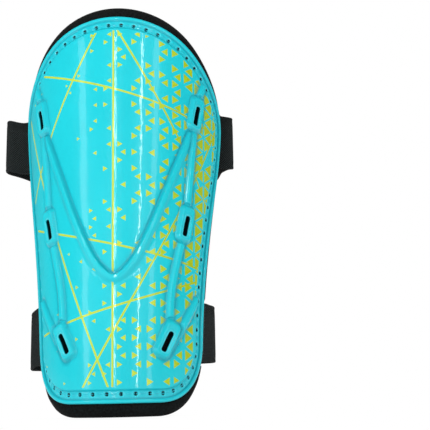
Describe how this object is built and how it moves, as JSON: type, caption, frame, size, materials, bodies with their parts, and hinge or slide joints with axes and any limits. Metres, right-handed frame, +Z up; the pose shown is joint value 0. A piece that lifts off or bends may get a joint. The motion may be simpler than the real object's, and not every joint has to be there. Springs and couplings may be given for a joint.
{
  "type": "shin guard",
  "caption": "Curved shin guard: a ribbed, vented plastic shell sewn to a lined foam pad, with an upper and a lower elastic calf strap that open behind the leg.",
  "frame": {"origin": "on the lining's inner face, on the front line at mid-height, where the guard rests on the shin bone", "axes": "+Z up the shin, -Y out through the front of the shell, +Y to the calf, +X to the side on the right of a viewer in front"},
  "size_m": [0.1355, 0.1066, 0.2239],
  "materials": {
    "shell": "injection-moulded, satin gloss with a printed lattice",
    "shell_thread": "bonded polyester thread",
    "foam": "EVA foam faced with brushed knit, matt",
    "lining": "warp-knitted polyester",
    "webbing": "woven elastic, diagonal ribs",
    "strap_thread": "polyester sewing thread",
    "hook_tape": "nylon hook tape",
    "loop_tape": "brushed nylon loop tape"
  },
  "bodies": {
    "root": {"shell": "shell", "perimeter_stitching": "shell_thread", "foam_pad": "foam", "lining": "lining", "upper_right_strap_end": "webbing", "upper_left_strap_end": "webbing", "upper_end_stitching": "strap_thread", "lower_right_strap_end": "webbing", "lower_left_strap_end": "webbing", "lower_end_stitching": "strap_thread"},
    "upper_right_half": {"upper_right_strap": "webbing", "upper_hook_tab": "hook_tape", "upper_tab_stitching": "strap_thread"},
    "upper_left_half": {"upper_left_strap": "webbing", "upper_loop_patch": "loop_tape"},
    "lower_right_half": {"lower_right_strap": "webbing", "lower_hook_tab": "hook_tape", "lower_tab_stitching": "strap_thread"},
    "lower_left_half": {"lower_left_strap": "webbing", "lower_loop_patch": "loop_tape"}
  },
  "joints": [
    {"name": "upper_right_fold", "type": "hinge", "parent": "root", "child": "upper_right_half", "pos_m": [0.0563, 0.04003, 0.045], "axis": [0, 0, -1], "range_deg": [0, 120]},
    {"name": "upper_left_fold", "type": "hinge", "parent": "root", "child": "upper_left_half", "pos_m": [-0.05473, 0.04035, 0.045], "axis": [0, 0, -1], "range_deg": [0, 35]},
    {"name": "lower_right_fold", "type": "hinge", "parent": "root", "child": "lower_right_half", "pos_m": [0.04571, 0.02682, -0.068], "axis": [0, 0, -1], "range_deg": [0, 120]},
    {"name": "lower_left_fold", "type": "hinge", "parent": "root", "child": "lower_left_half", "pos_m": [-0.0442, 0.02736, -0.068], "axis": [0, 0, -1], "range_deg": [0, 35]}
  ]
}
